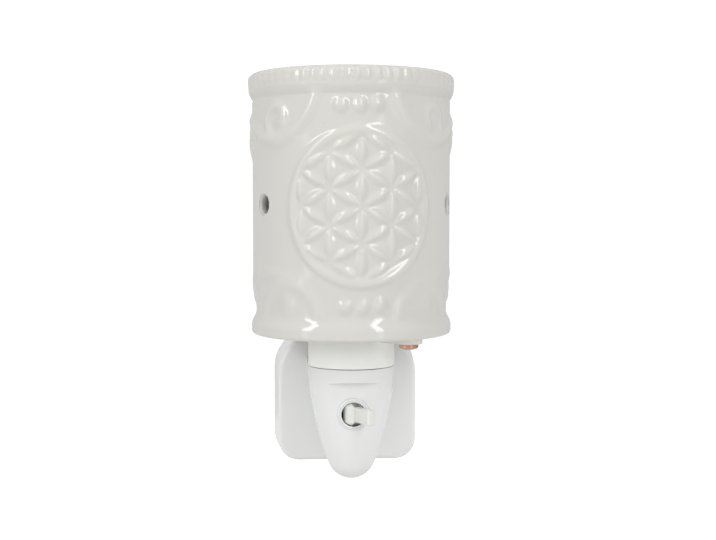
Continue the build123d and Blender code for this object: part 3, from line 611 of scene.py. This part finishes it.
def shade_relief(turns, z_out, lean):
    """How far the relief stands out, in rows up the outside and columns round it."""
    pattern_turn = np.mod(turns - PATTERN_TURN + QUARTER_TURN, math.pi) - QUARTER_TURN
    s, t = np.meshgrid(pattern_turn * BODY_R, z_out - VENT_Z)
    relief = np.maximum(soften(medallion(s, t), MEDALLION_POOLING), soften(scrolls(s, t), SCROLL_POOLING))
    rise = np.sin(np.clip((t - RELIEF_LOW) / RELIEF_RISE, 0, 1) * QUARTER_TURN) ** 2
    relief *= rise * np.clip((RELIEF_HIGH - t) / RELIEF_FALL, 0, 1)
    along = np.where(z_out > RIM_Z, lean * RIM_ROUND, z_out - RIM_Z)
    return relief + rim_beads(*np.meshgrid(turns - PATTERN_TURN, along))


# Shade: mesh

STRAY_TOP = 110.0       # the wall is true above this height and strays fully below the fade
STRAY_FADE = 20.0
VENT_EASE = 0.75        # a vent's outer edge is rounded over this much more than its radius
VENT_SLACK = 0.1        # cells whose middle is this little outside a vent are cut too
VENT_NEAR = 0.5         # radians round a vent in which cells can belong to it
# Loops through a vent: depth below the outside, and how much wider than the vent they are.
VENT_LOOPS = [(0.15, 0.38), (0.45, 0.14), (0.95, 0.0)]


def hole_edge(hole):
    """The closed loop of grid corners round the marked cells, as row and column."""
    rows, columns = hole.shape
    follow = {}
    for k, i in zip(*np.nonzero(hole)):
        after, before = (i + 1) % columns, (i - 1) % columns
        corners = [(k, i), (k, after), (k + 1, after), (k + 1, i)]
        beside = [(k - 1, i), (k, after), (k + 1, i), (k, before)]
        for a, b, (row, column) in zip(corners, corners[1:] + corners[:1], beside):
            if not (0 <= row < rows and hole[row, column]):
                follow[a] = b
    loop = [next(iter(follow))]
    while follow[loop[-1]] != loop[0]:
        loop.append(follow[loop[-1]])
    return loop


def make_shade():
    """Turned wall with its relief and inside, and four vents cut through it."""
    r_out, z_out, lean = shade_outside()
    first_fine, last_fine = np.flatnonzero(np.abs(z_out - VENT_Z) < VENT_R + FINE_MARGIN)[[0, -1]]
    fine_out = np.arange(first_fine, last_fine + 1)
    z_fine = z_out[fine_out]
    r_in, z_in = shade_inside(z_fine[::-1])
    fine_in = (len(z_out) + len(SEAT_OUTLINE) + COARSE_ROWS + np.arange(len(z_fine)))[::-1]
    rows = len(z_out) + len(z_in)
    turns = around(COLUMNS)
    relief = shade_relief(turns, z_out, lean)
    # Uneven throwing and glaze: the wall strays a little from a true cylinder.
    stray = 0.10 * np.sin(2 * turns + 0.7) + 0.06 * np.sin(3 * turns + 2.1)
    stray = np.outer(np.clip((STRAY_TOP - z_out) / STRAY_FADE, 0, 1), stray)
    plain = np.ones(COLUMNS)
    radius = np.vstack([r_out[:, None] + relief * np.cos(lean)[:, None] + stray, np.outer(r_in, plain)])
    height = np.vstack([z_out[:, None] + relief * np.sin(lean)[:, None], np.outer(z_in, plain)])
    angle = np.tile(turns, (rows, 1))
    # Glaze colour follows the relief: low places get the greyer hollow colour as painted shade, and raised
    # ones the paler crest colour as a painted highlight.
    tone = np.clip(np.vstack([relief, np.full((len(z_in), COLUMNS), INSIDE_TONE)]), 0, 1)

    # Vents: cells inside each hole are left out, their edge is drawn onto the hole's circle on both
    # sides of the wall, and three eased loops join the two edges.
    cut = np.zeros((rows, COLUMNS), bool)
    extra = []
    extra_faces = []
    middle_turn = turns + math.pi / COLUMNS
    middle_z = (z_fine[:-1] + z_fine[1:]) / 2 - VENT_Z
    for vent in VENT_TURNS:
        off = np.mod(middle_turn - vent + math.pi, FULL_TURN) - math.pi
        hole = np.hypot(np.sin(off) * BODY_R, middle_z[:, None]) < VENT_R + VENT_SLACK
        hole &= np.abs(off) < VENT_NEAR
        cut[fine_out[:-1]] |= hole
        cut[fine_in[1:]] |= hole
        loop = hole_edge(hole)
        spots = [math.atan2(z_fine[k] - VENT_Z, math.sin(turns[i] - vent) * BODY_R) for k, i in loop]
        for (k, i), spot in zip(loop, spots):
            for row, hole_r in ((fine_out[k], VENT_R + VENT_EASE), (fine_in[k], VENT_R)):
                angle[row, i] = vent + math.asin(hole_r * math.cos(spot) / radius[row, i])
                height[row, i] = VENT_Z + hole_r * math.sin(spot)
        rings = [[int(fine_out[k] * COLUMNS + i) for k, i in loop]]
        for depth, grow in VENT_LOOPS:
            hole_r = VENT_R + grow
            rings += stacked(1, len(loop), rows * COLUMNS + len(extra))
            for (k, i), spot in zip(loop, spots):
                r = radius[fine_out[k], i] - depth
                turn = vent + math.asin(hole_r * math.cos(spot) / r)
                extra.append(round_neck(r, turn, VENT_Z + hole_r * math.sin(spot)))
        rings.append([int(fine_in[k] * COLUMNS + i) for k, i in loop])
        extra_faces += skin_over(rings)

    points = np.stack([radius * np.sin(angle), NECK_Y - radius * np.cos(angle), height], -1).reshape(-1, 3)
    loops = stacked(rows, COLUMNS)
    faces = [face for face, out in zip(skin_over(loops + loops[:1]), cut.ravel()) if not out]
    glaze_and_painted_light_tones = np.concatenate([tone.ravel(), np.full(len(extra), VENT_TONE)])
    piece("shade", np.vstack([points, extra]), faces + extra_faces, "ceramic_shade", glaze_and_painted_light_tones)


# Smaller pieces, drawn finer than the solids

NECK_R = 14.75
NECK_COLUMNS = 192
POD_TOP = 15.2
COLLAR_TOP = 24.5
COLLAR_STEP = 18.0      # the collar's bore is wider below this height
COLLAR_BORE = 11.58
COLLAR_WIDE_BORE = 12.76
COLLAR_EDGE = 0.3
COLLAR_GAP = 0.18       # between the collar's lower edge and the pod
COLLAR_TIGHT = 0.13     # how much lower its lower edge is at the sides than in front
FACET_Y = -51.75        # the pod's flat round the switch
BEZEL_COLUMNS = 128
# Ring round the lever: radius and depth behind the facet. Barrel, outer lip, fine groove, inner lip, and
# a bore that widens behind the lip.
BEZEL_OUTLINE = [
    (4.6, 5.0), (4.6, 0.02), (5.5, 0.0), (5.38, -0.28), (5.1928, -0.448), (5.02, -0.56), (4.82, -0.66),
    (4.72, -0.5), (4.66, -0.5), (4.58, -0.72), (4.46, -0.92), (4.32, -0.98), (4.18, -0.9), (4.08, -0.7),
    (4.05, -0.4), (4.05, -0.1), (4.36, 0.2), (4.36, 5.0)]
PIVOT_Y = -49.75
LEVER_TILT = math.radians(30)
DRUM_R = 3.4
DRUM_COLUMNS = 96
DRUM_END_R = 4.3        # the drum's ends are parts of a ball
DRUM_END_ROWS = 12
NOTCH_Z = 2.5           # the drum is notched down to here over and under the paddle
NOTCH_HALF = 1.7
PADDLE_FROM = 1.8       # distances along the paddle are counted from the pivot
PADDLE_HALF_X = 1.3     # at the drum, with what both halves gain up to the paddle's end
PADDLE_HALF_Z = 2.4
PADDLE_GAIN = 0.3
PADDLE_GAIN_FROM = 2.4
PADDLE_GAIN_OVER = 8.8
PADDLE_CORNER = 0.7
BLUNT_FROM = 10.4       # the paddle's end is rounded from here on
BLUNT_R = 0.8
GRIP_FROM = 3.4
GRIP_FIRST = 3.8        # middle of the first grip ridge; the others follow at 1 mm
GRIP_TO = 6.2
GRIP_HEIGHT = 0.26
PLUG_HALF_X = 26.25
PLUG_HALF_Z = 24.0
PLUG_CORNERS = (14.5, 14.5, 8.7, 8.7)
CASE_DRAFT = math.tan(math.radians(4.8))
CASE_BACK = 4.0         # distances in front of the wall
CASE_FRONT = 18.0
CASE_EDGE = 1.7
CASE_WALL = 2.2
CORNER_INSET = 8.0      # the face's corners keep their shape up to this inset
SCREW_TURNS = (44.0, 224.0)
SCREW_REACH = 25.55
SCREW_COLUMNS = 72
HEAD_R = 3.2
HEAD_SIDE = 1.15        # height of the head's upright side, and of the dome on it
HEAD_DOME = 0.95
SLOT_HALF = 0.5         # half width, reach from the middle and depth of the crossed slot
SLOT_REACH = 1.9
SLOT_DEPTH = 0.8
SLOT_EASE = 0.15        # width of the slope at its sides and at its ends
SLOT_END_EASE = 0.4
SHANK_R = 1.75
SHANK_TOP = 10.1


def lathe(outline, columns, spin):
    """Points and faces of a closed outline in radius and height, turned round an axis.

    spin places a radius, an angle from the front and a height, all in millimetres."""
    points = [spin(r, turn, z) for r, z in outline for turn in around(columns)]
    loops = stacked(len(outline), columns)
    return points, skin_over(loops + loops[:1])


def corner(middle, radius, start_turn, end_turn, count=5):
    """Points of an arc in radius and height, its angles counted from outwards to up."""
    return [(middle[0] + radius * math.cos(math.radians(a)), middle[1] + radius * math.sin(math.radians(a)))
            for a in np.linspace(start_turn, end_turn, count)]


def seated(r, turn, z):
    """A collar point round the neck: the lower edge sits tighter on the pod at the sides than in front."""
    tight = COLLAR_TIGHT * min(1.0, 1.2 * (1 - math.cos(turn)))
    return round_neck(r, turn, z - tight * min(max((COLLAR_STEP - z) / 2.4, 0.0), 1.0))


def make_collar():
    """Neck between pod and shade, its lower edge eased and all but closed on the pod."""
    edge_r = NECK_R - COLLAR_EDGE
    bottom = POD_TOP + COLLAR_GAP
    outline = [(COLLAR_WIDE_BORE, bottom + 0.02)]
    outline += corner((edge_r, bottom + COLLAR_EDGE), COLLAR_EDGE, -90, 0)
    outline += corner((edge_r, COLLAR_TOP - COLLAR_EDGE), COLLAR_EDGE, 0, 90)
    outline += [(COLLAR_BORE + 0.02, COLLAR_TOP), (COLLAR_BORE, COLLAR_TOP - 0.05)]
    outline += [(COLLAR_BORE, COLLAR_STEP + 0.05), (COLLAR_WIDE_BORE - 0.02, COLLAR_STEP)]
    outline += [(COLLAR_WIDE_BORE, COLLAR_STEP - 0.05)]
    points, faces = lathe(outline, NECK_COLUMNS, seated)
    # Painted light: the collar gets a whiter plastic than the housing to lift the shadow that the ceramic
    # shade casts on it.
    finish = moulded("collar_painted_fill_white", linear(247, 248, 244), 0.30)
    piece("collar", points, faces, "socket_collar", finish=finish)


def screw_head(r, turn):
    """Depth of a round screw head below its seat: a short side, a low dome and a crossed slot."""
    dome = HEAD_SIDE + HEAD_DOME * math.sqrt(max(1 - (r / HEAD_R) ** 2, 0))
    x, y = abs(r * math.sin(turn)), abs(r * math.cos(turn))
    slot = 0.0
    for across, along in ((x, y), (y, x)):
        slot = max(slot, min((SLOT_HALF - across) / SLOT_EASE, (SLOT_REACH - along) / SLOT_END_EASE))
    return dome - SLOT_DEPTH * min(slot, 1.0)


def make_screws():
    """Two copper screws up through the bracket's ears: head, shank and a blunt end."""
    rows = [(r, None) for r in np.linspace(0.06, HEAD_R, 26)]
    rows += [(HEAD_R, -1.0), (HEAD_R, -0.5), (HEAD_R, -0.05), (3.14, 0.0), (1.78, 0.0), (SHANK_R, 0.05)]
    rows += [(SHANK_R, z) for z in np.linspace(1.0, 9.8, 6)] + [(1.5, SHANK_TOP), (0.05, SHANK_TOP)]
    points, faces = [], []
    for screw in SCREW_TURNS:
        x, y, seat = round_neck(SCREW_REACH, math.radians(screw), COLLAR_TOP)
        loops = stacked(len(rows), SCREW_COLUMNS, len(points))
        for r, z in rows:
            for turn in around(SCREW_COLUMNS):
                rise = -screw_head(r, turn) if z is None else z
                points.append((x + r * math.sin(turn), y - r * math.cos(turn), seat + rise))
        faces += [tuple(loops[0][::-1]), tuple(loops[-1])] + skin_over(loops)
    piece("copper_screws", points, faces, "shade_screws")


def round_switch(r, turn, depth):
    return r * math.sin(turn), FACET_Y + depth, r * math.cos(turn)


def make_bezel():
    points, faces = lathe(BEZEL_OUTLINE, BEZEL_COLUMNS, round_switch)
    piece("bezel", points, faces, "switch_bezel")


def round_cornered(half_x, half_z, bends, count):
    """Outline of a box with rounded corners, as x and z, from the upper right corner round to the left."""
    outline = []
    corners = zip(range(4), (1, -1, -1, 1), (1, 1, -1, -1), bends)
    for quarter, side_x, side_z, bend in corners:
        for a in np.linspace(0, QUARTER_TURN, count) + quarter * QUARTER_TURN:
            x = side_x * (half_x - bend) + bend * math.cos(a)
            z = side_z * (half_z - bend) + bend * math.sin(a)
            outline.append((x, z))
    return outline


def tilted(points):
    """Lever points, drawn from the pivot towards -Y, as the lever is stored."""
    c, w = math.cos(LEVER_TILT), math.sin(LEVER_TILT)
    return [(x * c - y * w, PIVOT_Y + x * w + y * c, z) for x, y, z in points]


def drum_points():
    """Rows of points down a drum with ball ends, and their number."""
    shoulder = math.asin(DRUM_R / DRUM_END_R)
    steps = np.linspace(0.02, shoulder, DRUM_END_ROWS)
    end = [(DRUM_END_R * math.sin(a), DRUM_END_R * math.cos(a)) for a in steps]
    top = end[-1][1]
    profile = end + [(DRUM_R, z) for z in np.linspace(top, -top, 16)[1:-1]] + [(r, -z) for r, z in end[::-1]]
    points = []
    for r, z in profile:
        for turn in around(DRUM_COLUMNS):
            x, y = r * math.sin(turn), -r * math.cos(turn)
            notched = np.clip((-y - 0.5) / 0.5, 0, 1) * np.clip((NOTCH_HALF - abs(x)) / 0.3, 0, 1)
            limit = DRUM_END_R + (NOTCH_Z - DRUM_END_R) * notched
            points.append((x, y, float(np.clip(z, -limit, limit))))
    return points, len(profile)


def paddle_row(along):
    """Outline of the paddle at a distance from the pivot: it widens outwards and has low grip ridges."""
    gain = PADDLE_GAIN * (along - PADDLE_GAIN_FROM) / PADDLE_GAIN_OVER
    blunt = BLUNT_R - math.sqrt(max(BLUNT_R ** 2 - max(along - BLUNT_FROM, 0) ** 2, 0))
    grip = 0.0
    if GRIP_FROM < along < GRIP_TO:
        grip = GRIP_HEIGHT * max(0.0, math.cos(FULL_TURN * (along - GRIP_FIRST)))
    half_x = PADDLE_HALF_X + gain + grip - blunt
    half_z = PADDLE_HALF_Z + gain - blunt
    outline = round_cornered(half_x, half_z, [PADDLE_CORNER] * 4, 6)
    return [(x, -along, z) for x, z in outline]


def make_lever():
    """Drum on the pivot pin, notched over and under a paddle."""
    points, count = drum_points()
    loops = stacked(count, DRUM_COLUMNS)
    faces = [tuple(loops[0]), tuple(loops[-1][::-1])] + skin_over(loops[::-1])
    steps = list(np.linspace(PADDLE_FROM, BLUNT_FROM, 60)) + [10.75, 11.0, 11.14, 11.2]
    paddle = [paddle_row(along) for along in steps]
    loops = stacked(len(paddle), len(paddle[0]), len(points))
    faces += skin_over(loops) + [tuple(loops[0][::-1]), tuple(loops[-1])]
    points += [spot for row in paddle for spot in row]
    piece("lever", tilted(points), faces, "switch_lever")


def plug_outline(inset):
    """Outline of the plug drawn in by inset, as x and z, with wider corners at the top."""
    bends = [bend - inset for bend in PLUG_CORNERS]
    return round_cornered(PLUG_HALF_X - inset, PLUG_HALF_Z - inset, bends, 10)


def shrunk(outline, by):
    """Outline drawn in towards its middle by a length, for the flat of the face."""
    if by <= 0:
        return outline
    half = max(x for x, z in outline)
    share = max((half - by) / half, 0.05)
    return [(x * share, z * share) for x, z in outline]


def make_plug_front():
    """Front shell of the plug: drafted sides, a full round edge and a hollow behind."""
    back_inset = CASE_BACK * CASE_DRAFT
    hollow_y = CASE_FRONT - CASE_WALL
    rows = [(back_inset + CASE_WALL, CASE_BACK), (back_inset, CASE_BACK), (back_inset, CASE_BACK + 0.05)]
    rows += [(y * CASE_DRAFT, y) for y in (6.0, 8.0, 10.0, 12.0, 14.0)]
    for a in np.linspace(0, QUARTER_TURN, 9):
        inset = CASE_FRONT * CASE_DRAFT - 0.15 + CASE_EDGE * (1 - math.cos(a))
        rows.append((inset, CASE_FRONT - CASE_EDGE * (1 - math.sin(a))))
    rows += [(inset, CASE_FRONT) for inset in (6.0, 12.0, 18.0, 22.5)]
    points = []
    for inset, y in rows:
        kept = min(inset, CORNER_INSET)
        points += [(x, -y, z) for x, z in shrunk(plug_outline(kept), inset - kept)]
    hollow = [(hollow_y * CASE_DRAFT + CASE_WALL, hollow_y), (back_inset + CASE_WALL, CASE_BACK + 0.02)]
    for inset, y in hollow:
        points += [(x, -y, z) for x, z in plug_outline(inset)]
    *outside, deep, mouth = stacked(len(rows) + len(hollow), len(plug_outline(0)))
    faces = skin_over(outside) + [tuple(outside[-1]), tuple(deep[::-1])]
    faces += skin_over([deep, mouth, outside[0]])
    piece("plug_front", points, faces, "plug_case")


make_shade()
make_collar()
make_screws()
make_bezel()
make_lever()
make_plug_front()


# Stage, light and camera, in metres

AXIS_Y = NECK_Y * MM
FLOOR_R = 0.45
FLOOR_POINTS = 96
FLOOR_DROP = 0.06       # below the pod
# Painted shadow: the floor's glow fades out under the warmer between these distances.
FLOOR_PAINTED_SHADOW = (0.02, 0.13)      # the soft shade under the warmer ends between these distances
FLOOR_GLOW = 0.22
FLOOR_GLOW_SEEN = 0.43          # added where the camera sees the floor itself
STRIP_REACH = 0.95
STRIP_TURNS = {"left": -56, "right": 29}
# Parts of each strip light: height of its middle, width and height, and power.
STRIP_PARTS = {"high": (0.85, (0.18, 1.3), 4.8), "low": (0.0, (0.12, 0.4), 0.18)}
OVERHEAD_Y = 0.2
OVERHEAD_Z = 1.6
OVERHEAD_SIZE = (2.0, 2.0)
OVERHEAD_POWER = 1.5
SKY_ROUND = 0.62        # brightness of the light all round, level from the front and from above
SKY_FRONT = 0.66
SKY_ABOVE = 0.68
BACKDROP = 1.06
FRAME_WIDTH = 716.0
FOCAL = 1185.4          # pixels of that frame
SENSOR = 36.0
CAMERA_PLACE = (-0.02635, -0.44406, 0.0699)
CAMERA_DOWN = 3.135     # degrees
CAMERA_RIGHT = 4.061


def make_floor():
    """Round pale floor below the warmer, with a painted soft shadow under it, and glowing as bright as the
    backdrop further out.
    """
    mesh = bpy.data.meshes.new("floor")
    rim = [(FLOOR_R * math.cos(a), FLOOR_R * math.sin(a), 0.0) for a in around(FLOOR_POINTS)]
    mesh.from_pydata(rim, [], [tuple(range(FLOOR_POINTS))])
    material, wire, surface = start("floor_pale")
    place = wire.node("ShaderNodeTexCoord", output="Object")
    away = wire.node("ShaderNodeVectorMath", {"operation": "LENGTH"}, {0: place}, "Value")
    seen = wire.node("ShaderNodeLightPath", output="Is Camera Ray")
    glow = away.between(*FLOOR_PAINTED_SHADOW) * (FLOOR_GLOW + seen * FLOOR_GLOW_SEEN)
    plug_in(
        surface,
        Base_Color=wire.noise(1.5, 2.0).mix(linear(216, 216, 215), linear(220, 220, 219)),
        Roughness=0.85,
        Emission_Color=glow.mix(grey(0.0), grey(1.0)),
        Emission_Strength=1.0,
    )
    mesh.materials.append(material)
    floor = placed("floor", mesh)
    floor.location = (0.0, AXIS_Y, cad_low.z - FLOOR_DROP)


def area_light(name, place, aim, size, power):
    """Rectangular light that looks from its place at a point."""
    data = bpy.data.lights.new(name, "AREA")
    data.shape = "RECTANGLE"
    data.size, data.size_y = size
    data.energy = power
    lamp = placed(name, data)
    lamp.location = place
    lamp.rotation_euler = (Vector(aim) - Vector(place)).to_track_quat("-Z", "Y").to_euler()


def make_lights():
    """Two upright strips to the left and right in front, and a wide soft light overhead."""
    for side, turn in STRIP_TURNS.items():
        x = STRIP_REACH * math.sin(math.radians(turn))
        y = AXIS_Y - STRIP_REACH * math.cos(math.radians(turn))
        for part, (z, size, power) in STRIP_PARTS.items():
            area_light("strip_%s_%s" % (side, part), (x, y, z), (0.0, AXIS_Y, z), size, power)
    above, below = (0.0, OVERHEAD_Y, OVERHEAD_Z), (0.0, OVERHEAD_Y, 0.0)
    area_light("overhead", above, below, OVERHEAD_SIZE, OVERHEAD_POWER)


def make_sky():
    """Soft grey light all round, brighter from above and level from the front, and a white backdrop."""
    world = bpy.data.worlds.new("studio")
    world.use_nodes = True
    bpy.context.scene.world = world
    sky = Wire(world.node_tree)
    toward = sky.node("ShaderNodeTexCoord", output="Generated")
    upward = sky.node("ShaderNodeSeparateXYZ", None, {0: toward}, "Z")
    front = sky.node("ShaderNodeSeparateXYZ", None, {0: toward}, "Y") * -1.0
    level = front.between(-0.6, 0.1) * upward.between(-0.8, -0.4) * (1.0 - upward.between(0.05, 0.4))
    light = level.mix(grey(SKY_ROUND), grey(SKY_FRONT))
    light = upward.between(0.3, 0.9).mix(light, grey(SKY_ABOVE))
    seen = sky.node("ShaderNodeLightPath", output="Is Camera Ray")
    plug_in(world.node_tree.nodes["Background"], Color=seen.mix(light, grey(BACKDROP)), Strength=1.0)


def make_camera():
    """The photo's view: from a little to the left, looking slightly down."""
    data = bpy.data.cameras.new("camera")
    data.sensor_width = SENSOR
    data.lens = SENSOR * FOCAL / FRAME_WIDTH
    data.clip_start, data.clip_end = 0.01, 50.0
    camera = placed("camera", data)
    camera.location = CAMERA_PLACE
    camera.rotation_euler = (math.radians(90 - CAMERA_DOWN), 0.0, math.radians(-CAMERA_RIGHT))
    bpy.context.scene.camera = camera


make_floor()
make_lights()
make_sky()
make_camera()
bpy.context.scene.view_settings.view_transform = "Standard"
